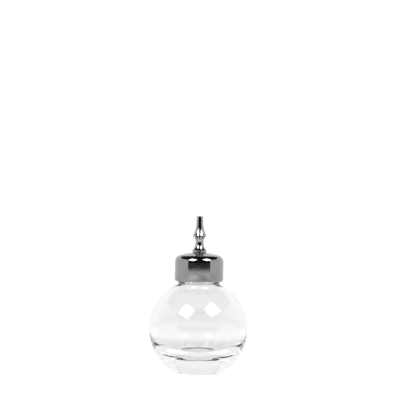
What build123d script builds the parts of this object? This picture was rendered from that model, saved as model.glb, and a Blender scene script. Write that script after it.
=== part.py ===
from build123d import *

import os
from math import sqrt

# Ball-shaped dasher bottle for bitters: a heavy glass ball with a screw neck, and a domed metal cap
# that carries a slim baluster spout.  Everything is in millimetres, +Z is up, and the origin is the
# centre of the ring that the ball stands on.  Heights are above the plane of that ring.

# ---- glass bottle ----------------------------------------------------------------------------
body_radius = 32.5  # outside of the glass ball
foot_radius = 14.1  # outer edge of the ring that the ball stands on, before it is rounded
foot_edge_round = 0.6
push_up_radius = 12.9  # hollow under the ball, inside that ring
push_up_depth = 3.2
glass_wall = 4.6  # side wall of the ball
floor_height = 12.0  # middle of the cavity floor
floor_dish = 1.0  # how far the cavity floor rises over floor_reach
floor_reach = 20.0
floor_corner_round = 16.0  # between the cavity floor and the ball's inner wall
neck_radius = 12.6  # neck between the turns of the thread
neck_wall = 3.2
neck_inner_round = 13.0  # between the bore and the ball's inner wall
rim_edge_round = 0.8
ring_step = 1.0  # glass ring between the ball and the thread, beyond the neck
ring_height = 3.3  # height of that ring above the ball
ring_foot_round = 0.8  # hollow where the ring meets the ball
ring_edge_round = 0.4

# ---- screw thread: one start, right hand -----------------------------------------------------
thread_pitch = 4.2
thread_depth = 1.15  # ridge height, on the glass and in the cap alike
thread_root_width = 1.7
thread_crest_width = 0.7
glass_thread_turns = 1.5
cap_thread_turns = 1.25
thread_lead_in = 0.25  # turns from the lower end of the glass thread to the lower end of the cap's
thread_above_ring = 1.2  # from the glass ring up to the cap's thread
thread_below_rim = 2.5  # from the rim down to the upper end of the glass thread
thread_clearance = 0.3  # crest of one ridge to the wall of the other piece
ridge_overlap = 0.4  # how far a ridge reaches into the wall it grows from

# ---- cap shell -------------------------------------------------------------------------------
cap_wall = 0.7
cap_roof_rise = 4.3  # from the top of the gasket to the top of the dome
cap_dome_radius = 46.0
cap_shoulder_radius = 4.6
cap_above_ball = 1.8  # from the neck's foot up to the lower edge of the cap
cap_hem_radius = 1.3  # the skirt is turned in with this radius
hem_gap = 0.35  # edge of the turned-in hem beyond the insert's bore
shell_gap = 0.06  # cemented joint between the shell and its threaded insert

# ---- threaded insert, and the gasket that seals the rim --------------------------------------
insert_wall = 1.3
gasket_thickness = 1.5
gasket_clearance = 0.3  # around the gasket, inside the insert
gasket_overhang = 0.3  # gasket beyond the glass, outside and inside
window_clearance = 2.0  # around the spout's nut, in the insert's roof

# ---- spout: heights above its seat on the cap ------------------------------------------------
spout_length = 24.05
spout_tip_radius = 2.05
spout_tip_round = 0.45
spout_shaft_radius = 2.2  # slim shaft, where its flare begins
spout_flare_rise = 20.25
spout_collar_radius = 4.5
spout_collar_rise = 10.85
spout_collar_edge = 0.25  # thin cylindrical edge of the collar
spout_waist_radius = 2.65
spout_waist_rise = 6.85
spout_foot_radius = 4.75
spout_foot_band = 1.4  # plain band round the foot
spout_foot_round = 0.4
spout_stud_radius = 2.5  # threaded tail below the cap
spout_tip_bore = 0.8
spout_tip_bore_length = 7.0
spout_bore = 1.35
stud_clearance = 0.08
seat_gap = 0.02

# ---- what clamps the spout, inside the cap ---------------------------------------------------
seal_radius = 5.4
seal_thickness = 1.0
washer_radius = 5.4
washer_thickness = 0.6
nut_across_flats = 9.0
nut_height = 2.4
nut_edge_chamfer = 0.35
nut_gap = 0.03  # around the stud, where the nut's thread would be
stud_proud = 0.6  # stud beyond the nut

# ---- sizes that follow from the ones above ---------------------------------------------------
# ball and neck
ball_height = sqrt(body_radius**2 - foot_radius**2)
push_up_curve = (push_up_radius**2 + push_up_depth**2) / (2 * push_up_depth)
cavity_radius = body_radius - glass_wall
dish_radius = (floor_reach**2 + floor_dish**2) / (2 * floor_dish)
ring_radius = neck_radius + ring_step
ring_foot_height = ball_height + sqrt(body_radius**2 - ring_radius**2)
ring_top_height = ring_foot_height + ring_height
bore_radius = neck_radius - neck_wall
bore_foot_height = ball_height + sqrt(cavity_radius**2 - bore_radius**2)

# thread and rim
cap_thread_start = ring_top_height + thread_above_ring + thread_root_width / 2
glass_thread_start = cap_thread_start + (1 / 2 - thread_lead_in) * thread_pitch
glass_thread_end = glass_thread_start + glass_thread_turns * thread_pitch
rim_height = glass_thread_end + thread_below_rim

# gasket and insert
gasket_radius = neck_radius + gasket_overhang
gasket_bore_radius = bore_radius - gasket_overhang
gasket_seat_radius = gasket_radius + gasket_clearance
gasket_seat_floor = glass_thread_end + thread_root_width / 2 + seat_gap
insert_bore_radius = neck_radius + thread_depth + thread_clearance
insert_roof_height = rim_height + gasket_thickness
nut_corner_radius = nut_across_flats / sqrt(3)
window_radius = nut_corner_radius + window_clearance

# cap shell
cap_radius = insert_bore_radius + insert_wall + shell_gap + cap_wall
cap_skirt_height = ring_foot_height + cap_above_ball
insert_floor_height = cap_skirt_height + cap_wall + seat_gap
cap_apex_height = insert_roof_height + cap_roof_rise
dome_centre_height = cap_apex_height - cap_dome_radius
shoulder_centre_radius = cap_radius - cap_shoulder_radius
shoulder_reach = cap_dome_radius - cap_shoulder_radius
shoulder_centre_height = dome_centre_height + sqrt(shoulder_reach**2 - shoulder_centre_radius**2)
spout_hole_radius = spout_stud_radius + stud_clearance


def dome_height(radius, inset):
    """Height of the cap's dome at a distance from the axis, with its surface moved in by inset."""
    return dome_centre_height + sqrt((cap_dome_radius - inset) ** 2 - radius**2)


# spout and its fastening
spout_seat_height = dome_height(spout_hole_radius, 0) + seat_gap
seal_top_height = dome_height(seal_radius, cap_wall) - seat_gap
washer_top_height = seal_top_height - seal_thickness
nut_top_height = washer_top_height - washer_thickness
nut_floor_height = nut_top_height - nut_height
stud_end_height = nut_floor_height - stud_proud


# ---- helpers: outlines are drawn as X, Z in the half plane beside the axis -------------------
def block(inner, outer, low, high):
    """Rectangle between two radii and two heights."""
    return Pos((inner + outer) / 2, (low + high) / 2) * Rectangle(outer - inner, high - low)


def disc(radius, height):
    """Half disc about a point on the axis."""
    return Pos(0, height) * Circle(radius) & block(0, radius, height - radius, height + radius)


def rounded(outline, radius, *corners):
    """Outline with the vertices nearest to the given corners rounded."""
    found = [outline.vertices().sort_by_distance((x, z, 0))[0] for x, z in corners]
    return fillet(found, radius)


def turned(outline):
    """Solid of revolution of an outline about the Z axis."""
    return revolve(Plane.XZ * outline, axis=Axis.Z)


def cap_outline(inset, low):
    """Cap's side, shoulder and dome with its surface moved in by inset, down to a flat at low."""
    shoulder = cap_shoulder_radius - inset
    lean = shoulder_centre_radius / shoulder_reach
    tangent_radius = shoulder_centre_radius + shoulder * lean
    tangent_height = shoulder_centre_height + shoulder * sqrt(1 - lean**2)
    skirt_foot = (cap_radius - inset, low)
    skirt_top = (cap_radius - inset, shoulder_centre_height)
    dome_edge = (tangent_radius, tangent_height)
    apex = (0, cap_apex_height - inset)
    outline = Line(skirt_foot, skirt_top) + TangentArc(skirt_top, dome_edge, tangent=(0, 1))
    outline += RadiusArc(dome_edge, apex, -(cap_dome_radius - inset))
    return make_face(outline + Polyline(apex, (0, low), skirt_foot))


def thread_ridge(wall_radius, start_height, turns, inward):
    """Helical ridge with a blunt trapezoid section that grows from a cylindrical wall."""
    side = -1 if inward else 1
    flank_spread = (thread_root_width - thread_crest_width) / 2 / thread_depth
    root_half = thread_root_width / 2 + flank_spread * ridge_overlap
    crest_half = thread_crest_width / 2
    root_radius = wall_radius - side * ridge_overlap
    crest_radius = wall_radius + side * thread_depth
    corners = [
        (root_radius, -root_half),
        (crest_radius, -crest_half),
        (crest_radius, crest_half),
        (root_radius, root_half),
    ]
    path = Helix(thread_pitch, turns * thread_pitch, wall_radius)
    ridge = sweep(Plane.XZ * make_face(Polyline(*corners, close=True)), path=path, is_frenet=True)
    return Pos(0, 0, start_height) * ridge


# ---- the pieces ------------------------------------------------------------------------------
def make_glass_bottle():
    """Glass ball with a thick pushed-up base, a smooth cavity and a threaded neck."""
    outside = disc(body_radius, ball_height) & block(0, body_radius, 0, ball_height + body_radius)
    outside -= disc(push_up_curve, push_up_depth - push_up_curve)
    outside += block(0, ring_radius, ball_height, ring_top_height)
    outside += block(0, neck_radius, ball_height, rim_height)
    outside = rounded(outside, foot_edge_round, (foot_radius, 0), (push_up_radius, 0))
    outside = rounded(outside, ring_foot_round, (ring_radius, ring_foot_height))
    ring_top_corners = (ring_radius, ring_top_height), (neck_radius, ring_top_height)
    outside = rounded(outside, ring_edge_round, *ring_top_corners)
    outside = rounded(outside, rim_edge_round, (neck_radius, rim_height))
    cavity = disc(cavity_radius, ball_height) & disc(dish_radius, floor_height + dish_radius)
    floor_corner = cavity.vertices().sort_by(Axis.Y)[1]
    cavity = fillet(floor_corner, floor_corner_round)
    cavity += block(0, bore_radius, ball_height, rim_height)
    cavity = rounded(cavity, neck_inner_round, (bore_radius, bore_foot_height))
    glass = rounded(outside - cavity, rim_edge_round, (bore_radius, rim_height))
    return turned(glass) + thread_ridge(neck_radius, glass_thread_start, glass_thread_turns, inward=False)


def make_cap_shell():
    """Drawn metal cap: plain skirt with a turned-in hem, rounded shoulder, shallow dome and a hole."""
    hem_edge = insert_bore_radius + hem_gap
    outside = rounded(cap_outline(0, cap_skirt_height), cap_hem_radius, (cap_radius, cap_skirt_height))
    hollow = cap_outline(cap_wall, cap_skirt_height + cap_wall)
    hollow = rounded(hollow, cap_hem_radius - cap_wall, (cap_radius - cap_wall, cap_skirt_height + cap_wall))
    hollow += block(0, hem_edge, cap_skirt_height, cap_skirt_height + 2 * cap_wall)
    hole = block(0, spout_hole_radius, cap_skirt_height, cap_apex_height)
    return turned(outside - hollow - hole)


def make_threaded_insert():
    """Moulded screw insert cemented into the shell, with a roof that presses on the gasket."""
    inset = cap_wall + shell_gap
    outline = rounded(
        cap_outline(inset, insert_floor_height),
        cap_hem_radius - cap_wall,
        (cap_radius - inset, insert_floor_height),
    )
    outline -= block(0, insert_bore_radius, insert_floor_height, gasket_seat_floor)
    outline -= block(0, gasket_seat_radius, insert_floor_height, insert_roof_height)
    outline -= block(0, window_radius, insert_floor_height, cap_apex_height)
    ridge = thread_ridge(insert_bore_radius, cap_thread_start, cap_thread_turns, inward=True)
    return turned(outline) + Rot(0, 0, thread_lead_in * 360) * ridge


def make_rim_gasket():
    """Flat silicone ring between the rim of the glass and the roof of the insert."""
    return turned(block(gasket_bore_radius, gasket_radius, rim_height, insert_roof_height))


def make_dasher_spout():
    """Turned baluster spout with a fine bore and a threaded tail that passes through the cap."""
    foot = (0, spout_seat_height)
    foot_edge = (spout_foot_radius, spout_seat_height)
    band_top = (spout_foot_radius, spout_seat_height + spout_foot_band)
    waist = (spout_waist_radius, spout_seat_height + spout_waist_rise)
    collar = (spout_collar_radius, spout_seat_height + spout_collar_rise)
    collar_top = (spout_collar_radius, spout_seat_height + spout_collar_rise + spout_collar_edge)
    flare_top = (spout_shaft_radius, spout_seat_height + spout_flare_rise)
    tip = (spout_tip_radius, spout_seat_height + spout_length)
    side = Polyline(foot, foot_edge, band_top)
    side += TangentArc(waist, band_top, tangent=(0, -1))
    side += TangentArc(waist, collar, tangent=(0, 1))
    side += Line(collar, collar_top)
    side += TangentArc(flare_top, collar_top, tangent=(0, -1))
    side += Polyline(flare_top, tip, (0, tip[1]), foot)
    outline = rounded(make_face(side), spout_foot_round, foot_edge, band_top)
    outline = rounded(outline, spout_tip_round, tip)
    outline += block(0, spout_stud_radius, stud_end_height, spout_seat_height)
    outline -= block(0, spout_tip_bore, stud_end_height, tip[1])
    outline -= block(0, spout_bore, stud_end_height, tip[1] - spout_tip_bore_length)
    return turned(outline)


def make_spout_seal():
    """Soft ring that seals the stud against the underside of the dome."""
    return turned(block(spout_hole_radius, seal_radius, washer_top_height, seal_top_height))


def make_spout_washer():
    """Plain washer between the seal and the nut."""
    return turned(block(spout_hole_radius, washer_radius, nut_top_height, washer_top_height))


def make_spout_nut():
    """Hexagon nut with chamfered corners that clamps the spout to the cap."""
    blank = block(spout_stud_radius + nut_gap, nut_corner_radius, nut_floor_height, nut_top_height)
    outer_corners = blank.vertices().group_by(Axis.X)[-1]
    blank = chamfer(outer_corners, nut_edge_chamfer)
    prism = extrude(RegularPolygon(nut_corner_radius, 6), nut_height)
    return turned(blank) & Pos(0, 0, nut_floor_height) * prism


pieces = {
    "glass_bottle": make_glass_bottle,
    "cap_shell": make_cap_shell,
    "threaded_insert": make_threaded_insert,
    "rim_gasket": make_rim_gasket,
    "dasher_spout": make_dasher_spout,
    "spout_seal": make_spout_seal,
    "spout_washer": make_spout_washer,
    "spout_nut": make_spout_nut,
}

os.makedirs("parts", exist_ok=True)
for name, make in pieces.items():
    export_step(make(), f"parts/{name}.step")
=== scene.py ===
"""Ball-shaped dasher bottle: a heavy glass ball, a domed metal screw cap and a baluster spout."""

import logging
from dataclasses import dataclass, field
from enum import Enum
from math import asin, atan2, cos, hypot, pi, radians, sin, sqrt, tan

import bmesh
import bpy
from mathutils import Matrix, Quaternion, Vector


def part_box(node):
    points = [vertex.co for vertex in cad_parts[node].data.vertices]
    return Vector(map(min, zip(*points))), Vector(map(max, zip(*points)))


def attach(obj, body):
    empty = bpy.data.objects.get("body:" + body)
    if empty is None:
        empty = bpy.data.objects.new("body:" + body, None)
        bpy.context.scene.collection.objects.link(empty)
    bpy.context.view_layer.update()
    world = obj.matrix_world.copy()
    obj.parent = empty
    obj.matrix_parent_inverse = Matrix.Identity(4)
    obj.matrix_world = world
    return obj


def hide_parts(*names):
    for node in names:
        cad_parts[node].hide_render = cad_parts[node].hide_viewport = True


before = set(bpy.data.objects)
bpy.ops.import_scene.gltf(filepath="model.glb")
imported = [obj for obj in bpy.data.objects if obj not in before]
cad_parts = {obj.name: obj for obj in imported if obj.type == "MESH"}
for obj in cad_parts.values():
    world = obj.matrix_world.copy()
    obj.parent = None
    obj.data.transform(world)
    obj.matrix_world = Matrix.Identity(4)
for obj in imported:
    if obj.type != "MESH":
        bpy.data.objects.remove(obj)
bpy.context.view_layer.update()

log = logging.getLogger("dasher_bottle")

MM = 0.001  # outlines are drawn in millimetres, meshes are in metres
LONG_RUN = 2.0  # straight runs longer than this, in millimetres, get support rows
SUPPORT_INSET = 0.15  # from the end of the run to its support row, in millimetres
SAME_POINT = 1e-5  # points of an outline closer than this, in millimetres, are one
ON_AXIS = 1e-6  # points closer than this to the axis, in millimetres, are on it
SAME_VERTEX = 1e-7  # vertices of a sweep closer than this, in metres, are one

Point = tuple[float, float]
Range = tuple[float, float]
Colour = tuple[float, float, float]
Mesh = bpy.types.Mesh
Piece = bpy.types.Object
Material = bpy.types.Material
Tree = bpy.types.NodeTree
Node = bpy.types.Node
Socket = bpy.types.NodeSocket


class Body(Enum):
    """CAD bodies that the pieces ride on."""

    BOTTLE = "bottle"
    GASKET = "gasket"
    CAP = "cap"


class Slot(Enum):
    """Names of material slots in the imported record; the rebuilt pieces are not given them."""

    GLASS = "clear_glass"
    CAP = "cap_chrome"
    SILICONE = "gasket_silicone"
    SPOUT = "spout_chrome"
    STEEL = "fastener_steel"


# ---- meshes ------------------------------------------------------------------------------------


def apart(first: Point, second: Point) -> float:
    """Distance between two points of an outline."""
    return hypot(second[0] - first[0], second[1] - first[1])


def on_circle(centre: Point, radius: float, start: float, end: float, steps: int) -> list[Point]:
    """Points along a circular arc, both ends included.

    Args:
        centre: Middle of the circle, as distance from the axis and height.
        radius: Radius of the circle.
        start: Angle of the first point, in radians.
        end: Angle of the last point, in radians.
        steps: Number of chords.

    Returns:
        The points in order.
    """
    turn = (end - start) / steps
    return [
        (centre[0] + radius * cos(start + turn * i), centre[1] + radius * sin(start + turn * i))
        for i in range(steps + 1)
    ]


def upright_arc(upright: Point, far: Point, steps: int) -> list[Point]:
    """Points along the arc that leaves one end straight up or down and meets the other end.

    Args:
        upright: End at which the arc runs along the axis.
        far: Other end.
        steps: Number of chords.

    Returns:
        The points from the upright end to the far end.
    """
    across, along = far[0] - upright[0], far[1] - upright[1]
    radius = (across * across + along * along) / (2 * across)
    turn = 2 * atan2(across, along) if along > 0 else -2 * atan2(across, -along)
    return [
        (upright[0] + radius * (1 - cos(turn * i / steps)), upright[1] + radius * sin(turn * i / steps))
        for i in range(steps + 1)
    ]


def softened(corner: Point, before: Point, after: Point, radius: float, steps: int) -> list[Point]:
    """Points of a round between two straight runs.

    Args:
        corner: Where the runs meet.
        before: A point on the run that arrives.
        after: A point on the run that leaves.
        radius: Radius of the round.
        steps: Number of chords.

    Returns:
        The points from the first run to the second.
    """
    here = Vector(corner)
    back = (Vector(before) - here).normalized()
    on = (Vector(after) - here).normalized()
    half = back.angle(on) / 2
    centre = here + (back + on).normalized() * (radius / sin(half))
    first = here + back * (radius / tan(half)) - centre
    last = here + on * (radius / tan(half)) - centre
    sweep = first.angle_signed(last)
    start = atan2(first.y, first.x)
    return on_circle((centre.x, centre.y), radius, start, start - sweep, steps)


def finished(name: str, mesh: Mesh, material: Material, sharp: float) -> Piece:
    """Puts a mesh in the scene with smooth shading, sharp edges and its material.

    Args:
        name: Name of the piece.
        mesh: Mesh with its place in its vertices.
        material: Finish of the whole piece.
        sharp: Angle in degrees above which an edge stays sharp.

    Returns:
        The object.
    """
    mesh.name = name
    mesh.shade_smooth()
    mesh.set_sharp_from_angle(angle=radians(sharp))
    mesh.materials.clear()
    mesh.materials.append(material)
    piece = bpy.data.objects.new(name, mesh)
    bpy.context.scene.collection.objects.link(piece)
    return piece


def with_support(outline: list[Point], closed: bool) -> list[Point]:
    """Adds a point just inside each end of every long straight run, so that its shading stays flat.

    Args:
        outline: Points of distance from the axis and height, in millimetres.
        closed: True if the outline is a loop.

    Returns:
        The outline with the extra points.
    """
    points = []
    ends = outline[1:] + outline[:1] if closed else outline[1:]
    for here, there in zip(outline, ends):
        points.append(here)
        across, along = there[0] - here[0], there[1] - here[1]
        length = hypot(across, along)
        if length > LONG_RUN:
            for share in (SUPPORT_INSET / length, 1 - SUPPORT_INSET / length):
                points.append((here[0] + across * share, here[1] + along * share))
    return points if closed else points + [outline[-1]]


def turned(outline: list[Point], segments: int, closed: bool) -> Mesh:
    """Turns an outline about the axis.

    Args:
        outline: Points of distance from the axis and height, in millimetres.
        segments: Number of steps round the axis.
        closed: True if the outline is a loop beside the axis, False if both its ends are on the axis.

    Returns:
        A closed mesh whose faces point outwards.
    """
    points = [outline[0]]
    for point in outline[1:]:
        if apart(point, points[-1]) > SAME_POINT:
            points.append(point)
    if closed and apart(points[0], points[-1]) < SAME_POINT:
        points.pop()
    points = with_support(points, closed)
    mesh_data = bmesh.new()
    rows = []
    for radius, height in points:
        if radius < ON_AXIS:
            rows.append([mesh_data.verts.new((0, 0, height * MM))] * segments)
            continue
        turn = 2 * pi / segments
        rows.append(
            [
                mesh_data.verts.new((radius * cos(turn * k) * MM, radius * sin(turn * k) * MM, height * MM))
                for k in range(segments)
            ]
        )
    pairs = list(zip(rows, rows[1:] + rows[:1] if closed else rows[1:]))
    for low, high in pairs:
        for k in range(segments):
            n = (k + 1) % segments
            corners = list(dict.fromkeys((low[k], low[n], high[n], high[k])))
            if len(corners) > 2:
                mesh_data.faces.new(corners)
    bmesh.ops.recalc_face_normals(mesh_data, faces=mesh_data.faces)
    mesh = bpy.data.meshes.new("turned")
    mesh_data.to_mesh(mesh)
    mesh_data.free()
    return mesh


def joined_solid(main: Mesh, *others: Mesh) -> Mesh:
    """Merges overlapping closed meshes into one skin.

    Args:
        main: Mesh that the others grow from.
        others: Meshes to merge into it.

    Returns:
        One closed mesh.
    """
    base = bpy.data.objects.new("merge_base", main)
    bpy.context.scene.collection.objects.link(base)
    added = []
    for other in others:
        part = bpy.data.objects.new("merge_part", other)
        bpy.context.scene.collection.objects.link(part)
        modifier = base.modifiers.new("merge", "BOOLEAN")
        modifier.operation = "UNION"
        modifier.solver = "EXACT"
        modifier.object = part
        added.append(part)
    bpy.context.view_layer.update()
    evaluated = base.evaluated_get(bpy.context.evaluated_depsgraph_get())
    merged = bpy.data.meshes.new_from_object(evaluated)
    base.modifiers.clear()
    for helper in (base, *added):
        bpy.data.objects.remove(helper)
    return merged


# ---- node helpers ------------------------------------------------------------------------------


class Nodes:
    """Short calls for making and linking nodes in one tree."""

    def __init__(self, tree: Tree) -> None:
        """Keeps the tree that the calls add to."""
        self.tree = tree

    def add(self, kind: str, settings: dict[str, object] | None = None, **inputs: object) -> Node:
        """Adds a node, sets its properties and fills or links its inputs.

        Args:
            kind: Type name of the node.
            settings: Properties of the node itself.
            inputs: Values or sockets by input name, with _ for a space, or in0, in1 by position.

        Returns:
            The node.
        """
        node = self.tree.nodes.new(kind)
        for key, value in (settings or {}).items():
            setattr(node, key, value)
        for key, value in inputs.items():
            if key.startswith("in"):
                self.fill(node.inputs[int(key[2:])], value)
            else:
                self.fill_all(node, **{key: value})
        return node

    def fill(self, socket: Socket, value: object) -> None:
        """Links a socket to another one, or sets its value."""
        if isinstance(value, Socket):
            self.tree.links.new(value, socket)
        else:
            socket.default_value = value

    def fill_all(self, node: Node, **inputs: object) -> None:
        """Links or sets inputs of a node by name, with _ for a space."""
        for key, value in inputs.items():
            self.fill(node.inputs[key.replace("_", " ")], value)

    def math(self, operation: str, *values: object, clamp: bool = False) -> Socket:
        """Adds a Math node and returns its result."""
        inputs = {f"in{i}": value for i, value in enumerate(values)}
        return self.add("ShaderNodeMath", {"operation": operation, "use_clamp": clamp}, **inputs).outputs[0]

    def ramp(self, value: object, low: float, high: float, to_low: object, to_high: object) -> Socket:
        """Adds a smooth Map Range node and returns its result."""
        node = self.add(
            "ShaderNodeMapRange",
            {"interpolation_type": "SMOOTHSTEP"},
            Value=value,
            From_Min=low,
            From_Max=high,
            To_Min=to_low,
            To_Max=to_high,
        )
        return node.outputs["Result"]

    def blend(self, factor: object, first: object, second: object) -> Socket:
        """Adds a colour Mix node and returns its result."""
        node = self.tree.nodes.new("ShaderNodeMix")
        node.data_type = "RGBA"
        self.fill(node.inputs[0], factor)
        self.fill(node.inputs[6], first)
        self.fill(node.inputs[7], second)
        return node.outputs[2]


SocketRow = tuple[str, str, str, float | None]


def floats(way: str, **defaults: float | None) -> list[SocketRow]:
    """Rows of new_group for sockets that carry a number.

    Args:
        way: INPUT or OUTPUT.
        defaults: Default by socket name, with _ for a space, or None.

    Returns:
        One row a socket.
    """
    return [(label.replace("_", " "), way, "NodeSocketFloat", value) for label, value in defaults.items()]


def new_group(name: str, kind: str, sockets: list[SocketRow]) -> Tree:
    """Makes an empty node group with named sockets.

    Args:
        name: Name of the group.
        kind: Type name of the tree.
        sockets: Name, INPUT or OUTPUT, socket type and default of each socket.

    Returns:
        The tree, with its Group Input and Group Output nodes.
    """
    tree = bpy.data.node_groups.new(name, kind)
    for label, way, socket_type, default in sockets:
        socket = tree.interface.new_socket(name=label, in_out=way, socket_type=socket_type)
        if default is not None:
            socket.default_value = default
    tree.nodes.new("NodeGroupInput")
    tree.nodes.new("NodeGroupOutput")
    return tree


SHADER_TREE, GEOMETRY_TREE = "ShaderNodeTree", "GeometryNodeTree"


SMEARS_PER_METRE = 55.0
SMEAR_RANGE = (0.45, 0.75)  # part of the noise in which a smear fades in
SMEAR_FILM = 0.05  # height of a smear against the depth of a scratch
SCRATCH_RANGE = (0.66, 0.74)  # part of the noise in which a scratch fades in
SCRATCH_RUNS = ((0.5, (900.0, 900.0, 26.0)), (1.9, (60.0, 1300.0, 700.0)))  # turn and stretch
SCRATCH_TILT = 0.6
GRAIN_SHARE = 0.3  # height of the grain against that of the slow waves


@dataclass(frozen=True)
class SharedEffects:
    """Shader node groups that several finishes use."""

    handling: Tree
    turning: Tree
    grain: Tree

    @classmethod
    def make(cls) -> "SharedEffects":
        """Builds the three groups once."""
        return cls(cls._handling(), cls._turning(), cls._grain())

    @staticmethod
    def _handling() -> Tree:
        """Faint smears and fine rubbed scratches that handling leaves on a polished surface.

        Returns:
            Group with inputs Scale, Smear and Scratch, and outputs Smears, Scratches and Height.
        """
        sockets = floats("INPUT", Scale=1.0, Smear=0.5, Scratch=0.5)
        sockets += floats("OUTPUT", Smears=None, Scratches=None, Height=None)
        tree = new_group("handling marks", SHADER_TREE, sockets)
        n = Nodes(tree)
        given, result = tree.nodes["Group Input"], tree.nodes["Group Output"]
        place = n.add("ShaderNodeTexCoord").outputs["Object"]
        large = n.math("MULTIPLY", given.outputs["Scale"], SMEARS_PER_METRE)
        cloud = n.add("ShaderNodeTexNoise", None, Vector=place, Scale=large, Detail=4.0, Roughness=0.6)
        smear = n.math("MULTIPLY", n.ramp(cloud.outputs[0], *SMEAR_RANGE, 0.0, 1.0), given.outputs["Smear"])
        marks = None
        size = given.outputs["Scale"]
        for turn, stretch in SCRATCH_RUNS:
            lean = (turn, turn * SCRATCH_TILT, turn)
            run = n.add("ShaderNodeMapping", None, Vector=place, Rotation=lean, Scale=stretch).outputs[0]
            line = n.add("ShaderNodeTexNoise", None, Vector=run, Scale=size, Detail=2.0)
            mark = n.ramp(line.outputs[0], *SCRATCH_RANGE, 0.0, 1.0)
            marks = mark if marks is None else n.math("MAXIMUM", marks, mark)
        scratch = n.math("MULTIPLY", marks, given.outputs["Scratch"])
        film = n.math("MULTIPLY", smear, SMEAR_FILM)
        n.fill_all(result, Smears=smear, Scratches=scratch, Height=n.math("SUBTRACT", film, scratch))
        return tree

    @staticmethod
    def _turning() -> Tree:
        """Fine rings left by turning and polishing on a lathe.

        Returns:
            Group with inputs Pitch and Irregularity, and outputs Rings and Height.
        """
        sockets = floats("INPUT", Pitch=0.2, Irregularity=0.5) + floats("OUTPUT", Rings=None, Height=None)
        tree = new_group("turning rings", SHADER_TREE, sockets)
        n = Nodes(tree)
        given, result = tree.nodes["Group Input"], tree.nodes["Group Output"]
        place = n.add("ShaderNodeTexCoord").outputs["Object"]
        axes = n.add("ShaderNodeSeparateXYZ", None, Vector=place).outputs
        squares = n.math("ADD", n.math("MULTIPLY", axes[0], axes[0]), n.math("MULTIPLY", axes[1], axes[1]))
        reach = n.math("ADD", n.math("SQRT", squares), axes[2])
        along = n.math("DIVIDE", n.math("MULTIPLY", reach, 1000.0), given.outputs["Pitch"])
        fine = n.add("ShaderNodeTexNoise", {"noise_dimensions": "1D"}, W=along, Scale=1.0, Detail=3.0)
        broad = n.add("ShaderNodeTexNoise", {"noise_dimensions": "1D"}, W=along, Scale=0.07, Detail=1.0)
        uneven = n.math("MULTIPLY", broad.outputs[0], given.outputs["Irregularity"])
        rings = n.math("ADD", fine.outputs[0], n.math("SUBTRACT", uneven, 0.25), clamp=True)
        n.fill_all(result, Rings=rings, Height=rings)
        return tree

    @staticmethod
    def _grain() -> Tree:
        """Moulded skin: a fine grain over slow waves.

        Returns:
            Group with inputs Grain and Waves, and outputs Tone and Height.
        """
        sockets = floats("INPUT", Grain=2500.0, Waves=90.0) + floats("OUTPUT", Tone=None, Height=None)
        tree = new_group("moulded skin", SHADER_TREE, sockets)
        n = Nodes(tree)
        given, result = tree.nodes["Group Input"], tree.nodes["Group Output"]
        place = n.add("ShaderNodeTexCoord").outputs["Object"]
        fine = n.add("ShaderNodeTexNoise", None, Vector=place, Scale=given.outputs["Grain"], Detail=2.0)
        slow = n.add("ShaderNodeTexNoise", None, Vector=place, Scale=given.outputs["Waves"], Detail=3.0)
        height = n.math("ADD", n.math("MULTIPLY", fine.outputs[0], GRAIN_SHARE), slow.outputs[0])
        n.fill_all(result, Tone=slow.outputs[0], Height=height)
        return tree


# ---- finishes ----------------------------------------------------------------------------------


class Finish:
    """Start of every finish: a material, its shader and a node helper."""

    name = "finish"

    def start(self) -> tuple[Material, Node, Nodes]:
        """Makes the material and returns it with its Principled shader and a node helper."""
        material = bpy.data.materials.new(self.name)
        material.use_nodes = True
        return material, material.node_tree.nodes["Principled BSDF"], Nodes(material.node_tree)

    def group(self, n: Nodes, tree: Tree, **inputs: float) -> Node:
        """Places a shared group in the material with its own values."""
        node = n.tree.nodes.new("ShaderNodeGroup")
        node.node_tree = tree
        for key, value in inputs.items():
            node.inputs[key].default_value = value
        return node

    def bump(self, n: Nodes, height: Socket, strength: float, distance: float) -> Socket:
        """Adds a Bump node and returns its normal."""
        return n.add("ShaderNodeBump", None, Height=height, Strength=strength, Distance=distance).outputs[0]


@dataclass(frozen=True)
class ClearGlass(Finish):
    """Fire-polished clear glass with slow waves in its surface and faint smears."""

    name: str = "clear glass"
    tint: Colour = (0.95, 0.954, 0.953)
    thick_tint: Colour = (0.94, 0.946, 0.945)
    ior: float = 1.5
    wave_scale: float = 60.0
    wave_height: float = 0.00004
    smear_roughness: float = 0.012

    def make(self, effects: SharedEffects) -> Material:
        """Builds the material."""
        material, shader, n = self.start()
        place = n.add("ShaderNodeTexCoord").outputs["Object"]
        marks = self.group(n, effects.handling, Scale=0.5, Smear=0.5, Scratch=0.15)
        waves = n.add(
            "ShaderNodeTexNoise", None, Vector=place, Scale=self.wave_scale, Detail=1.0, Roughness=0.4
        )
        n.fill_all(
            shader,
            Transmission_Weight=1.0,
            IOR=self.ior,
            Base_Color=n.blend(waves.outputs[0], (*self.tint, 1), (*self.thick_tint, 1)),
            Roughness=n.math("MULTIPLY", marks.outputs["Smears"], self.smear_roughness),
            Normal=self.bump(n, waves.outputs[0], 1.0, self.wave_height),
        )
        return material


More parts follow.
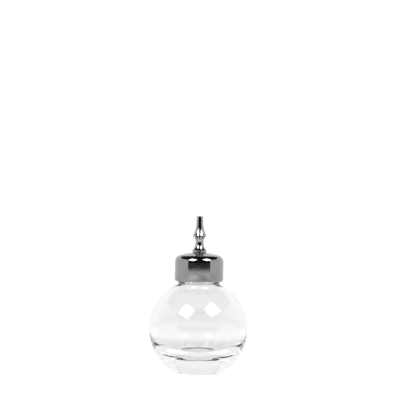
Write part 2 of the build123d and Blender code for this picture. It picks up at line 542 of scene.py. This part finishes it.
@dataclass(frozen=True)
class PolishedPlate(Finish):
    """Polished plating with hairlines from the lathe, faint smears and fine scratches."""

    name: str = "polished plating"
    bright: Colour = (0.39, 0.39, 0.395)
    dull: Colour = (0.29, 0.29, 0.295)
    roughness: float = 0.03
    smear_roughness: float = 0.04
    ring_pitch: float = 0.12
    ring_height: float = 0.0000001
    marks: float = 1.0
    wear: float = 0.8

    def make(self, effects: SharedEffects) -> Material:
        """Builds the material."""
        material, shader, n = self.start()
        handling = self.group(n, effects.handling, Scale=1.0, Smear=self.marks, Scratch=self.marks * 0.5)
        rings = self.group(n, effects.turning, Pitch=self.ring_pitch, Irregularity=0.5)
        shader.inputs["Metallic"].default_value = 1.0
        wear = n.math("MULTIPLY", handling.outputs["Smears"], self.wear)
        n.fill(shader.inputs["Base Color"], n.blend(wear, (*self.bright, 1), (*self.dull, 1)))
        smeared = n.math("MULTIPLY", handling.outputs["Smears"], self.smear_roughness)
        scratched = n.math("MULTIPLY", handling.outputs["Scratches"], self.smear_roughness)
        fine = n.math("MULTIPLY_ADD", rings.outputs["Rings"], self.roughness * 0.4, self.roughness * 0.8)
        n.fill(shader.inputs["Roughness"], n.math("ADD", n.math("ADD", smeared, scratched), fine))
        n.fill(shader.inputs["Normal"], self.bump(n, rings.outputs["Height"], 1.0, self.ring_height))
        return material


@dataclass(frozen=True)
class MouldedSkin(Finish):
    """Moulded plastic or rubber with a fine matt skin."""

    name: str = "moulded plastic"
    light: Colour = (0.84, 0.84, 0.82)
    dark: Colour = (0.76, 0.76, 0.74)
    roughness: float = 0.35
    uneven: float = 0.2
    ior: float = 1.49
    grain: float = 2500.0
    waves: float = 120.0
    relief: float = 0.4
    depth: float = 0.00003
    milkiness: float = 0.0
    milk_depth: float = 0.002

    def make(self, effects: SharedEffects) -> Material:
        """Builds the material."""
        material, shader, n = self.start()
        skin = self.group(n, effects.grain, Grain=self.grain, Waves=self.waves)
        tone = skin.outputs["Tone"]
        n.fill(shader.inputs["Base Color"], n.blend(tone, (*self.dark, 1), (*self.light, 1)))
        n.fill(shader.inputs["Roughness"], n.math("MULTIPLY_ADD", tone, self.uneven, self.roughness))
        n.fill(shader.inputs["Normal"], self.bump(n, skin.outputs["Height"], self.relief, self.depth))
        shader.inputs["Subsurface Weight"].default_value = self.milkiness
        shader.inputs["Subsurface Radius"].default_value = (self.milk_depth,) * 3
        shader.inputs["IOR"].default_value = self.ior
        return material


@dataclass(frozen=True)
class MachinedMetal(Finish):
    """Bare turned or stamped metal with tool rings."""

    name: str = "machined metal"
    light: Colour = (0.64, 0.64, 0.65)
    dark: Colour = (0.48, 0.48, 0.49)
    roughness: float = 0.25
    ring_pitch: float = 0.2
    ring_height: float = 0.000008
    uneven: float = 0.12
    scratch_roughness: float = 0.1

    def make(self, effects: SharedEffects) -> Material:
        """Builds the material."""
        material, shader, n = self.start()
        rings = self.group(n, effects.turning, Pitch=self.ring_pitch, Irregularity=0.8)
        marks = self.group(n, effects.handling, Scale=1.6, Smear=0.8, Scratch=0.6)
        shader.inputs["Metallic"].default_value = 1.0
        tone = n.math("MULTIPLY", marks.outputs["Smears"], rings.outputs["Rings"])
        n.fill(shader.inputs["Base Color"], n.blend(tone, (*self.light, 1), (*self.dark, 1)))
        rough = n.math("MULTIPLY_ADD", rings.outputs["Rings"], self.uneven, self.roughness)
        scratched = n.math("MULTIPLY_ADD", marks.outputs["Scratches"], self.scratch_roughness, rough)
        n.fill(shader.inputs["Roughness"], scratched)
        n.fill(shader.inputs["Normal"], self.bump(n, rings.outputs["Height"], 0.8, self.ring_height))
        return material


# ---- thread ridges -----------------------------------------------------------------------------


@dataclass(frozen=True)
class ThreadForm:
    """Sizes of one helical ridge, in millimetres, heights to the middle of its root."""

    wall_radius: float
    start_height: float
    pitch: float
    turns: float
    depth: float
    root_width: float
    crest_width: float
    crest_round: float
    overlap: float
    lead_in: float = 0.08  # turns over which each end runs out into the wall
    steps_per_turn: int = 96


END_SCALE = 0.02  # size of the section at the ends of a ridge


class ThreadMaker:
    """Geometry Nodes tree that sweeps a blunt ridge along a helix."""

    LENGTHS = ("Radius", "Start Height", "Rise", "Depth", "Root Width", "Crest Width", "Crest Round")

    def __init__(self) -> None:
        """Builds the tree once."""
        self.tree = self._build()

    def _build(self) -> Tree:
        """Makes the tree: spiral, run-out at its ends, blunt section, sweep, place, solid result."""
        sockets = floats("INPUT", **dict.fromkeys(self.LENGTHS, MM))
        sockets += floats("INPUT", Turns=1.0, Run_Out=0.05)
        sockets += [
            ("Steps Per Turn", "INPUT", "NodeSocketInt", 96),
            ("Finish", "INPUT", "NodeSocketMaterial", None),
            ("Geometry", "OUTPUT", "NodeSocketGeometry", None),
        ]
        tree = new_group("thread ridge", GEOMETRY_TREE, sockets)
        n = Nodes(tree)
        given, result = tree.nodes["Group Input"].outputs, tree.nodes["Group Output"]
        spiral = n.add(
            "GeometryNodeCurveSpiral",
            None,
            Resolution=given["Steps Per Turn"],
            Rotations=given["Turns"],
            Start_Radius=given["Radius"],
            End_Radius=given["Radius"],
            Height=given["Rise"],
        )
        upright = n.add("GeometryNodeSetCurveNormal", {"mode": "Z_UP"}, Curve=spiral.outputs[0])
        factor = n.add("GeometryNodeSplineParameter").outputs["Factor"]
        to_end = n.math("MINIMUM", factor, n.math("SUBTRACT", 1.0, factor))
        size = n.add(
            "ShaderNodeMapRange",
            {"interpolation_type": "SMOOTHSTEP"},
            Value=to_end,
            From_Max=given["Run Out"],
            To_Min=END_SCALE,
            To_Max=1.0,
        ).outputs["Result"]
        section = n.add(
            "GeometryNodeCurvePrimitiveQuadrilateral",
            {"mode": "TRAPEZOID"},
            Height=given["Depth"],
            Bottom_Width=given["Root Width"],
            Top_Width=given["Crest Width"],
            Offset=0.0,
        )
        half_depth = n.math("MULTIPLY", given["Depth"], 0.5)
        lift = n.add("ShaderNodeCombineXYZ", None, Y=half_depth).outputs[0]
        raised = n.add("GeometryNodeTransform", None, Geometry=section.outputs[0], Translation=lift)
        soft = n.add(
            "GeometryNodeFilletCurve",
            {"mode": "POLY"},
            Curve=raised.outputs[0],
            Count=4,
            Radius=given["Crest Round"],
            Limit_Radius=True,
        )
        lying = n.add("GeometryNodeTransform", None, Geometry=soft.outputs[0], Rotation=(0.0, 0.0, pi / 2))
        sweep = n.tree.nodes.new("GeometryNodeCurveToMesh")
        n.fill(sweep.inputs["Profile Curve"], lying.outputs[0])
        n.fill(sweep.inputs["Fill Caps"], True)
        n.fill(sweep.inputs["Curve"], upright.outputs[0])
        n.fill(sweep.inputs["Scale"], size)
        up = n.add("ShaderNodeCombineXYZ", None, Z=given["Start Height"]).outputs[0]
        placed = n.add("GeometryNodeTransform", None, Geometry=sweep.outputs[0], Translation=up)
        real = n.add("GeometryNodeRealizeInstances", None, Geometry=placed.outputs[0])
        dressed = n.add("GeometryNodeSetMaterial", None, Geometry=real.outputs[0], Material=given["Finish"])
        n.fill(result.inputs["Geometry"], dressed.outputs[0])
        return tree

    def make(self, form: ThreadForm, material: Material) -> Mesh:
        """Sweeps one ridge.

        Args:
            form: Sizes of the ridge.
            material: Finish that Set Material gives it.

        Returns:
            A closed mesh whose faces point outwards.
        """
        flank = (form.root_width - form.crest_width) / 2 / form.depth
        values = {
            "Radius": (form.wall_radius - form.overlap) * MM,
            "Start Height": form.start_height * MM,
            "Rise": form.turns * form.pitch * MM,
            "Depth": (form.depth + form.overlap) * MM,
            "Root Width": (form.root_width + 2 * flank * form.overlap) * MM,
            "Crest Width": form.crest_width * MM,
            "Crest Round": form.crest_round * MM,
            "Turns": form.turns,
            "Run Out": form.lead_in / form.turns,
            "Steps Per Turn": form.steps_per_turn,
            "Finish": material,
        }
        holder = bpy.data.objects.new("thread_holder", bpy.data.meshes.new("thread_holder"))
        bpy.context.scene.collection.objects.link(holder)
        modifier = holder.modifiers.new("thread", "NODES")
        modifier.node_group = self.tree
        for item in self.tree.interface.items_tree:
            if item.item_type == "SOCKET" and item.in_out == "INPUT":
                modifier[item.identifier] = values[item.name]
        bpy.context.view_layer.update()
        evaluated = holder.evaluated_get(bpy.context.evaluated_depsgraph_get())
        mesh = bpy.data.meshes.new_from_object(evaluated)
        holder.modifiers.clear()
        bpy.data.objects.remove(holder)
        mesh_data = bmesh.new()
        mesh_data.from_mesh(mesh)
        bmesh.ops.remove_doubles(mesh_data, verts=mesh_data.verts, dist=SAME_VERTEX)
        bmesh.ops.recalc_face_normals(mesh_data, faces=mesh_data.faces)
        mesh_data.to_mesh(mesh)
        mesh_data.free()
        return mesh


# ---- the glass ---------------------------------------------------------------------------------


@dataclass
class GlassBottle:
    """Glass ball with a thick pushed-up base, a smooth cavity and a threaded neck; sizes in millimetres."""

    body_radius: float = 32.5
    foot_radius: float = 14.1
    foot_round: float = 0.6
    push_up_radius: float = 12.9
    push_up_depth: float = 3.2
    wall: float = 4.6
    floor_height: float = 12.0
    dish_radius: float = 200.5
    floor_corner: float = 16.0
    neck_radius: float = 12.6
    neck_wall: float = 3.2
    neck_inner_round: float = 13.0
    ring_step: float = 1.0
    ring_height: float = 3.3
    ring_foot_round: float = 0.8
    ring_edge_round: float = 0.4
    rim_round: float = 0.8
    thread_depth: float = 1.15
    thread_root: float = 1.7
    thread_crest: float = 0.7
    thread_pitch: float = 4.2
    thread_turns: float = 1.5
    thread_below_rim: float = 2.5
    segments: int = 240

    def outline(self, rim: float) -> list[Point]:
        """Outline from the middle of the foot, round the outside and the rim, to the middle of the floor.

        Args:
            rim: Height of the rim.

        Returns:
            The points of the outline.
        """
        ball, foot = self.body_radius, self.foot_round
        middle = sqrt(ball**2 - self.foot_radius**2)
        bend = (self.push_up_radius**2 + self.push_up_depth**2) / (2 * self.push_up_depth)
        half = asin(self.push_up_radius / bend)
        points = on_circle((0, self.push_up_depth - bend), bend, pi / 2, pi / 2 - half, steps=24)
        foot_reach = sqrt((ball - foot) ** 2 - (middle - foot) ** 2)
        leave = atan2(foot - middle, foot_reach)
        points += on_circle((foot_reach, foot), foot, -pi / 2, leave, steps=6)
        ring = self.neck_radius + self.ring_step
        hollow = ring + self.ring_foot_round
        hollow_height = middle + sqrt((ball + self.ring_foot_round) ** 2 - hollow**2)
        meet = atan2(hollow_height - middle, hollow)
        points += on_circle((0, middle), ball, leave, meet, steps=96)
        points += on_circle((hollow, hollow_height), self.ring_foot_round, meet - pi, -pi, steps=8)
        edge = self.ring_edge_round
        shelf = middle + sqrt(ball**2 - ring**2) + self.ring_height
        points += on_circle((ring - edge, shelf - edge), edge, 0, pi / 2, steps=5)
        points += on_circle((self.neck_radius + edge, shelf + edge), edge, -pi / 2, -pi, steps=5)
        lip = self.rim_round
        bore = self.neck_radius - self.neck_wall
        points += on_circle((self.neck_radius - lip, rim - lip), lip, 0, pi / 2, steps=8)
        points += on_circle((bore + lip, rim - lip), lip, pi / 2, pi, steps=8)
        return points + self._cavity(middle, bore)

    def _cavity(self, middle: float, bore: float) -> list[Point]:
        """Inner wall from the bore down to the middle of the floor."""
        inside, curl = self.body_radius - self.wall, self.neck_inner_round
        curl_height = middle + sqrt((inside + curl) ** 2 - (bore + curl) ** 2)
        meet = atan2(curl_height - middle, bore + curl)
        points = on_circle((bore + curl, curl_height), curl, pi, meet + pi, steps=12)
        corner, dish = self.floor_corner, self.dish_radius
        dish_height = self.floor_height + dish
        to_ball, to_dish = inside - corner, dish - corner
        corner_height = to_ball**2 - to_dish**2 - middle**2 + dish_height**2
        corner_height /= 2 * (dish_height - middle)
        corner_reach = sqrt(to_ball**2 - (corner_height - middle) ** 2)
        upper = atan2(corner_height - middle, corner_reach)
        lower = atan2(corner_height - dish_height, corner_reach)
        points += on_circle((0, middle), inside, meet, upper, steps=56)
        points += on_circle((corner_reach, corner_height), corner, upper, lower, steps=48)
        floor = on_circle((0, dish_height), dish, lower, -pi / 2, steps=24)
        return points + floor[:-1] + [(0, self.floor_height)]

    def thread(self, rim: float) -> ThreadForm:
        """Sizes of the ridge that the cap screws on."""
        start = rim - self.thread_below_rim - self.thread_turns * self.thread_pitch
        return ThreadForm(
            wall_radius=self.neck_radius,
            start_height=start,
            pitch=self.thread_pitch,
            turns=self.thread_turns,
            depth=self.thread_depth,
            root_width=self.thread_root,
            crest_width=self.thread_crest,
            crest_round=0.25,
            overlap=0.4,
        )

    def build(self, threads: ThreadMaker, material: Material) -> Piece:
        """Makes the bottle as one skin.

        Args:
            threads: Maker of the ridge.
            material: Finish of the glass.

        Returns:
            The finished piece.
        """
        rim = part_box("glass_bottle")[1].z / MM
        body = turned(self.outline(rim), self.segments, closed=False)
        skin = joined_solid(body, threads.make(self.thread(rim), material))
        piece = finished("glass_bottle_fine", skin, material, sharp=40)
        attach(piece, Body.BOTTLE.value)
        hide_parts("glass_bottle")
        return piece


# ---- the cap -----------------------------------------------------------------------------------


@dataclass
class ScrewCap:
    """Drawn metal cap with its threaded insert; sizes in millimetres."""

    wall: float = 0.7
    dome_radius: float = 46.0
    shoulder_radius: float = 4.6
    hem_radius: float = 1.3
    hem_edge: float = 14.4
    hole_radius: float = 2.58
    segments: int = 224

    def outline(self) -> list[Point]:
        """Closed outline of the shell, up its outside and down its inside."""
        low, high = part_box("cap_shell")
        side, foot, hem = high.x / MM, low.z / MM, self.hem_radius
        middle = self._apex(high.z / MM) - self.dome_radius
        reach = self.dome_radius - self.shoulder_radius
        shoulder = side - self.shoulder_radius
        shoulder_height = middle + sqrt(reach**2 - shoulder**2)
        meet = atan2(shoulder_height - middle, shoulder)
        points = [(self.hem_edge, foot)]
        points += on_circle((side - hem, foot + hem), hem, -pi / 2, 0, steps=10)
        points += on_circle((shoulder, shoulder_height), self.shoulder_radius, 0, meet, steps=24)
        points += self._dome(middle, self.dome_radius, meet)
        inner = self.dome_radius - self.wall
        points += self._dome(middle, inner, meet)[::-1]
        points += on_circle((shoulder, shoulder_height), self.shoulder_radius - self.wall, meet, 0, steps=24)
        inner_hem = hem - self.wall
        points += on_circle((side - hem, foot + hem), inner_hem, 0, -pi / 2, steps=8)
        return points + [(self.hem_edge, foot + self.wall)]

    def _apex(self, hole_edge_height: float) -> float:
        """Height that the dome would reach on the axis, from the height of the hole's edge."""
        return hole_edge_height + self.dome_radius - sqrt(self.dome_radius**2 - self.hole_radius**2)

    def _dome(self, middle: float, radius: float, start: float) -> list[Point]:
        """Points along the dome from the shoulder to the hole."""
        end = atan2(sqrt(radius**2 - self.hole_radius**2), self.hole_radius)
        return on_circle((0, middle), radius, start, end, steps=32)

    def build(self, metal: Material, plastic: Material) -> Piece:
        """Makes the shell and dresses the insert.

        Args:
            metal: Finish of the shell.
            plastic: Finish of the insert.

        Returns:
            The finished shell.
        """
        skin = turned(self.outline(), self.segments, closed=True)
        shell = finished("cap_shell_fine", skin, metal, sharp=35)
        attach(shell, Body.CAP.value)
        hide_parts("cap_shell")
        dress(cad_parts["threaded_insert"], plastic)
        return shell


def dress(node: Piece, material: Material) -> None:
    """Gives a CAD node its finish.

    Args:
        node: Object of the node.
        material: Finish for all its faces.
    """
    for holder in node.material_slots:
        holder.material = material


# ---- the spout ---------------------------------------------------------------------------------


@dataclass
class DasherSpout:
    """Turned baluster spout with a fine bore and a threaded tail; sizes in millimetres above its seat."""

    length: float = 24.05
    tip_radius: float = 2.05
    tip_round: float = 0.45
    shaft_radius: float = 2.2
    flare_rise: float = 20.25
    collar_radius: float = 4.5
    collar_rise: float = 10.85
    collar_edge: float = 0.25
    waist_radius: float = 2.65
    waist_rise: float = 6.85
    foot_radius: float = 4.75
    foot_band: float = 1.4
    foot_round: float = 0.4
    stud_radius: float = 2.5
    stud_core: float = 2.08
    stud_plain: float = 1.5
    stud_chamfer: float = 0.25
    stud_slope: float = 0.3  # from the thread's root up to the plain part
    tip_bore: float = 0.8
    tip_bore_length: float = 7.0
    bore: float = 1.35
    thread_pitch: float = 0.8
    segments: int = 128

    def outline(self, seat: float, tail: float) -> list[Point]:
        """Closed outline, from the tail up the outside and down the bore.

        Args:
            seat: Height of the cap's dome where the spout stands.
            tail: Height of the lower end of the stud.

        Returns:
            The points of the outline.
        """
        tip = seat + self.length
        foot, band = seat, seat + self.foot_band
        waist = (self.waist_radius, seat + self.waist_rise)
        collar = seat + self.collar_rise
        collar_top = collar + self.collar_edge
        flare_top = (self.shaft_radius, seat + self.flare_rise)
        core, plain = self.stud_core, seat - self.stud_plain
        lead, slope = self.stud_chamfer, self.stud_slope
        points = [(self.bore, tail), (core - lead, tail), (core, tail + lead)]
        points += [(core, plain - slope), (self.stud_radius, plain), (self.stud_radius, foot)]
        points += softened(
            (self.foot_radius, foot), (0, foot), (self.foot_radius, band), self.foot_round, steps=6
        )
        hollow = upright_arc(waist, (self.foot_radius, band), steps=20)[::-1]
        points += self._turn_in(hollow)
        points += upright_arc(waist, (self.collar_radius, collar), steps=20)[1:]
        points += [(self.collar_radius, collar_top)]
        points += upright_arc(flare_top, (self.collar_radius, collar_top), steps=24)[::-1][1:]
        tip_round = self.tip_round
        points += on_circle((self.tip_radius - tip_round, tip - tip_round), tip_round, 0, pi / 2, steps=8)
        points += [(self.tip_bore, tip), (self.tip_bore, tip - self.tip_bore_length)]
        return points + [(self.bore, tip - self.tip_bore_length)]

    def _turn_in(self, hollow: list[Point]) -> list[Point]:
        """Rounds the upper edge of the foot's band into the hollow above it."""
        band = hollow[0]
        after = hollow[1]
        rounded = softened(band, (band[0], band[1] - 1), after, self.foot_round * 0.6, steps=6)
        return rounded + [point for point in hollow[1:] if point[1] > rounded[-1][1]]

    def thread(self, seat: float, tail: float) -> ThreadForm:
        """Sizes of the fine thread on the tail."""
        turns = (seat - self.stud_plain - 0.7 - tail - 0.5) / self.thread_pitch
        return ThreadForm(
            wall_radius=self.stud_core,
            start_height=tail + 0.5,
            pitch=self.thread_pitch,
            turns=turns,
            depth=self.stud_radius - self.stud_core,
            root_width=0.62,
            crest_width=0.14,
            crest_round=0.03,
            overlap=0.15,
            lead_in=0.3,
            steps_per_turn=64,
        )

    def build(self, threads: ThreadMaker, material: Material) -> Piece:
        """Makes the spout with its thread as one skin.

        Args:
            threads: Maker of the thread.
            material: Finish of the spout.

        Returns:
            The finished piece.
        """
        low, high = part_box("dasher_spout")
        seat, tail = high.z / MM - self.length, low.z / MM
        body = turned(self.outline(seat, tail), self.segments, closed=True)
        skin = joined_solid(body, threads.make(self.thread(seat, tail), material))
        piece = finished("dasher_spout_fine", skin, material, sharp=38)
        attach(piece, Body.CAP.value)
        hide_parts("dasher_spout")
        return piece


# ---- rings and nut inside the cap --------------------------------------------------------------


@dataclass
class PlainRing:
    """Flat ring with softened edges that stands for one CAD node; sizes in millimetres."""

    node: str
    bore: float
    edge: float
    body: Body
    slot: Slot
    segments: int = 128

    def build(self, material: Material) -> Piece:
        """Makes the ring in the box of its CAD node.

        Args:
            material: Finish of the ring.

        Returns:
            The finished piece.
        """
        low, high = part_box(self.node)
        outer, foot, top = high.x / MM, low.z / MM, high.z / MM
        corners = [(self.bore, foot), (outer, foot), (outer, top), (self.bore, top)]
        outline: list[Point] = []
        for i, corner in enumerate(corners):
            outline += softened(corner, corners[i - 1], corners[(i + 1) % 4], self.edge, steps=5)
        skin = turned(outline, self.segments, closed=True)
        piece = finished(f"{self.node}_fine", skin, material, sharp=50)
        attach(piece, self.body.value)
        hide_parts(self.node)
        return piece


@dataclass
class Clamping:
    """What holds the spout in the cap: seal, washer and nut."""

    seal: PlainRing = field(
        default_factory=lambda: PlainRing("spout_seal", 2.58, 0.25, Body.CAP, Slot.SILICONE, 96)
    )
    washer: PlainRing = field(
        default_factory=lambda: PlainRing("spout_washer", 2.58, 0.12, Body.CAP, Slot.STEEL, 96)
    )

    def build(self, silicone: Material, steel: Material, brass: Material) -> list[Piece]:
        """Makes the rings and dresses the nut.

        Args:
            silicone: Finish of the seal.
            steel: Finish of the washer.
            brass: Finish of the nut.

        Returns:
            The seal and the washer.
        """
        dress(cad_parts["spout_nut"], brass)
        return [self.seal.build(silicone), self.washer.build(steel)]


# ---- studio ------------------------------------------------------------------------------------


@dataclass
class Softbox:
    """Square soft light, turned about its own axis."""

    name: str
    direction: tuple[float, float, float]
    turn: float
    size: float = 0.48
    distance: float = 1.0
    power: float = 3.4

    def build(self, aim: Vector) -> None:
        """Hangs the light so that it faces a point.

        Args:
            aim: Point that the light faces.
        """
        light = bpy.data.lights.new(self.name, "AREA")
        light.shape = "SQUARE"
        light.size = self.size
        light.energy = self.power
        holder = bpy.data.objects.new(self.name, light)
        way = Vector(self.direction).normalized()
        holder.location = aim + way * self.distance
        facing = (-way).to_track_quat("-Z", "Y") @ Quaternion((0, 0, 1), radians(self.turn))
        holder.rotation_euler = facing.to_euler()
        bpy.context.scene.collection.objects.link(holder)


@dataclass
class Studio:
    """Pale floor, pale surround with an unlit front in reflections, two softboxes and the camera."""

    front_half: float = 54.0  # half width of the unlit front of the room, in degrees
    front_softness: float = 0.02
    rear: Range = (-0.9, -0.1)  # cosines between which the rear turns into the sides
    straight_back: Range = (-0.97, -0.85)
    roof_from_sides: float = 35.0  # height at which the unlit roof begins, in degrees
    roof_from_rear: float = 49.0
    roof_softness: float = 0.03
    dark_level: float = 0.015
    side_level: float = 0.78
    floor_side_level: float = 0.78
    rear_level: float = 0.86
    glass_front_level: float = 0.8
    glass_front_level_inside: float = 0.3
    glass_side_level: float = 0.9
    glass_roof_level: float = 0.8
    floor_front: float = 3.0
    floor_reach: float = 4.0
    floor_lit: Range = (1.3, 1.61)  # nearest and farthest lit part of the floor in front
    floor_lit_levels: Range = (1.2, 0.8)
    floor_near: Range = (0.45, 0.7)  # where the bright floor round the bottle ends
    floor_near_level: float = 1.0
    foot_shade: Range = (0.05, 0.1)  # where the shade round the foot ends
    strip_softness: Range = (0.03, 0.04)  # at the near and the far edge of the lit part
    floor_grey: float = 0.05
    glass_foot_shade: Range = (0.03, 0.09)
    glass_floor_fade: Range = (0.25, 1.05)
    glass_floor_near_level: float = 0.78
    glass_floor_far_level: float = 0.9
    eye_distance: float = 1.2
    eye_elevation: float = 3.2
    view_width: float = 0.26532
    centre_height: float = 0.0515
    aim: tuple[float, float, float] = (-0.00016, 0.0, 0.11451)
    roll: float = 0.9  # lean of the camera about its own axis, in degrees
    sensor: float = 36.0
    glass_bounces: int = 24
    mirror_bounces: int = 16
    boxes: list[Softbox] = field(
        default_factory=lambda: [
            Softbox("soft_left", (-0.47, -0.62, 0.70), -20.0),
            Softbox("soft_right", (0.53, -0.52, 0.76), 20.0),
        ]
    )

    def build(self) -> None:
        """Sets up the floor, the surround, the lights and the camera."""
        self._floor()
        self._surround()
        for box in self.boxes:
            box.build(Vector((0, 0, self.centre_height)))
        self._camera()
        bpy.context.scene.view_settings.view_transform = "Standard"
        paths = bpy.context.scene.cycles
        paths.max_bounces = paths.transmission_bounces = self.glass_bounces
        paths.glossy_bounces = self.mirror_bounces

    def _by_path(self, n: Nodes, mirrored: object, through: object, through_inside: object) -> Socket:
        """Chooses a level by the way that a ray has come; a ray straight from the camera finds white.

        Args:
            n: Node helper of the tree.
            mirrored: Level for a ray that met only mirrors.
            through: Level for a ray that passed through glass.
            through_inside: Level for a ray that was also thrown back inside the glass.

        Returns:
            The level.
        """
        path = n.add("ShaderNodeLightPath")
        bounced = n.math("GREATER_THAN", path.outputs["Glossy Depth"], 0.5)
        passed = n.math("GREATER_THAN", path.outputs["Transmission Depth"], 0.5)
        outside = self._choose(n, bounced, 1.0, mirrored)
        inside = self._choose(n, bounced, through, through_inside)
        return self._choose(n, passed, outside, inside)

    def _choose(self, n: Nodes, factor: object, first: object, second: object) -> Socket:
        """Mixes two levels."""
        node = n.tree.nodes.new("ShaderNodeMix")
        n.fill(node.inputs[0], factor)
        n.fill(node.inputs[2], first)
        n.fill(node.inputs[3], second)
        return node.outputs[0]

    def _directions(self, n: Nodes, x: object, y: object) -> tuple[Socket, ...]:
        """Distance from the axis, and how far a direction points to the front, rear and straight back."""
        squares = n.math("ADD", n.math("MULTIPLY", x, x), n.math("MULTIPLY", y, y))
        away = n.math("SQRT", squares)
        frontness = n.math("DIVIDE", n.math("MULTIPLY", y, -1.0), away)
        edge = cos(radians(self.front_half))
        front = n.ramp(frontness, edge - self.front_softness, edge + self.front_softness, 0.0, 1.0)
        rear = n.ramp(frontness, *self.rear, 1.0, 0.0)
        straight_back = n.ramp(frontness, *self.straight_back, 1.0, 0.0)
        return away, front, rear, straight_back

    def _floor(self) -> Piece:
        """Makes the floor, which glows white to the eye and falls off in front in reflections; the glow is
        painted light, with a painted lit strip in front and painted shade round the foot.
        """
        mesh = bpy.data.meshes.new("floor")
        front, reach = self.floor_front, self.floor_reach
        corners = [(-reach, -front, 0), (reach, -front, 0), (reach, reach, 0), (-reach, reach, 0)]
        mesh.from_pydata(corners, [], [(0, 1, 2, 3)])
        floor = bpy.data.objects.new("floor", mesh)
        bpy.context.scene.collection.objects.link(floor)
        material = bpy.data.materials.new("pale floor")
        material.use_nodes = True
        n = Nodes(material.node_tree)
        shader = material.node_tree.nodes["Principled BSDF"]
        shader.inputs["Base Color"].default_value = (*(self.floor_grey,) * 3, 1)
        shader.inputs["Roughness"].default_value = 1.0
        shader.inputs["Specular IOR Level"].default_value = 0.0
        shader.inputs["Emission Color"].default_value = (1, 1, 1, 1)
        place = n.add("ShaderNodeTexCoord").outputs["Object"]
        axes = n.add("ShaderNodeSeparateXYZ", None, Vector=place).outputs
        away, in_front, behind, _ = self._directions(n, axes[0], axes[1])
        near, far = self.floor_lit
        # Painted light in the glow that mirrors see: a lit strip in front, bright floor near the bottle and
        # painted shade round the foot.
        lit = n.ramp(away, near, far, *self.floor_lit_levels)
        lit = n.ramp(away, far, far + self.strip_softness[1], lit, self.dark_level)
        strip = n.ramp(away, near - self.strip_softness[0], near, self.dark_level, lit)
        strip = n.ramp(away, *self.floor_near, self.floor_near_level, strip)
        strip = n.ramp(away, *self.foot_shade, self.dark_level, strip)
        sides = self._choose(n, behind, self.floor_side_level, self.rear_level)
        mirrored = self._choose(n, in_front, sides, strip)
        # Painted light in the glow seen through the glass: painted shade round the foot, then a slight fade
        # far away.
        far_floor = n.ramp(away, *self.glass_floor_fade, 1.0, self.glass_floor_far_level)
        glass = n.ramp(away, *self.glass_foot_shade, self.glass_floor_near_level, far_floor)
        n.fill(shader.inputs["Emission Strength"], self._by_path(n, mirrored, glass, glass))
        mesh.materials.append(material)
        return floor

    def _surround(self) -> None:
        """Makes the world, pale on all sides but for an unlit front and roof."""
        world = bpy.data.worlds.new("surround")
        bpy.context.scene.world = world
        world.use_nodes = True
        n = Nodes(world.node_tree)
        ray = n.add("ShaderNodeTexCoord").outputs["Generated"]
        x, y, z = n.add("ShaderNodeSeparateXYZ", None, Vector=ray).outputs
        _, in_front, behind, straight_back = self._directions(n, x, y)
        side_top, rear_top = sin(radians(self.roof_from_sides)), sin(radians(self.roof_from_rear))
        top = self._choose(n, straight_back, side_top, rear_top)
        high = n.ramp(n.math("SUBTRACT", z, top), -self.roof_softness, self.roof_softness, 0.0, 1.0)
        sides = self._choose(n, behind, self.side_level, self.rear_level)
        walls = self._choose(n, in_front, sides, self.dark_level)
        mirrored = self._choose(n, high, walls, self.dark_level)
        pale_sides = self._choose(n, behind, self.glass_side_level, 1.0)
        levels = []
        for front_level in (self.glass_front_level, self.glass_front_level_inside):
            pale_walls = self._choose(n, in_front, pale_sides, front_level)
            levels.append(self._choose(n, high, pale_walls, self.glass_roof_level))
        background = world.node_tree.nodes["Background"]
        background.inputs["Color"].default_value = (1, 1, 1, 1)
        n.fill(background.inputs["Strength"], self._by_path(n, mirrored, *levels))

    def _camera(self) -> None:
        """Sets the camera at a low angle in front of the bottle."""
        data = bpy.data.cameras.new("camera")
        data.sensor_width = self.sensor
        data.lens = self.sensor * self.eye_distance / self.view_width
        camera = bpy.data.objects.new("camera", data)
        bpy.context.scene.collection.objects.link(camera)
        lift = radians(self.eye_elevation)
        back, up = self.eye_distance * cos(lift), self.eye_distance * sin(lift)
        camera.location = (0, -back, self.centre_height + up)
        look = Vector(self.aim) - camera.location
        facing = look.to_track_quat("-Z", "Y") @ Quaternion((0, 0, 1), radians(self.roll))
        camera.rotation_euler = facing.to_euler()
        bpy.context.scene.camera = camera


# ---- the whole bottle --------------------------------------------------------------------------


def report(piece: Piece) -> None:
    """Logs a piece's name, size and number of faces."""
    size = ", ".join(f"{side * 1000:.1f}" for side in piece.dimensions)
    log.info("%s: %s mm, %d faces", piece.name, size, len(piece.data.polygons))


def main() -> None:
    """Builds every piece, then the studio."""
    logging.basicConfig(level=logging.INFO, format="%(name)s: %(message)s")
    effects = SharedEffects.make()
    threads = ThreadMaker()
    glass = ClearGlass().make(effects)
    cap_metal = PolishedPlate(name="cap plating").make(effects)
    spout_metal = PolishedPlate(
        name="spout plating",
        bright=(0.48, 0.48, 0.485),
        dull=(0.4, 0.4, 0.405),
        roughness=0.02,
        ring_pitch=0.06,
    ).make(effects)
    plastic = MouldedSkin().make(effects)
    silicone = MouldedSkin(
        name="silicone",
        light=(0.82, 0.82, 0.80),
        dark=(0.72, 0.72, 0.70),
        roughness=0.5,
        uneven=0.15,
        ior=1.41,
        grain=1600.0,
        waves=200.0,
        relief=0.3,
        depth=0.00002,
        milkiness=0.2,
    ).make(effects)
    steel = MachinedMetal(name="stamped steel").make(effects)
    brass = MachinedMetal(name="turned brass", light=(0.74, 0.58, 0.30), dark=(0.56, 0.42, 0.2)).make(effects)
    report(GlassBottle().build(threads, glass))
    report(PlainRing("rim_gasket", 9.1, 0.25, Body.GASKET, Slot.SILICONE).build(silicone))
    report(ScrewCap().build(cap_metal, plastic))
    report(DasherSpout().build(threads, spout_metal))
    for ring in Clamping().build(silicone, steel, brass):
        report(ring)
    Studio().build()
    bpy.context.view_layer.update()


if __name__ == "__main__":
    main()
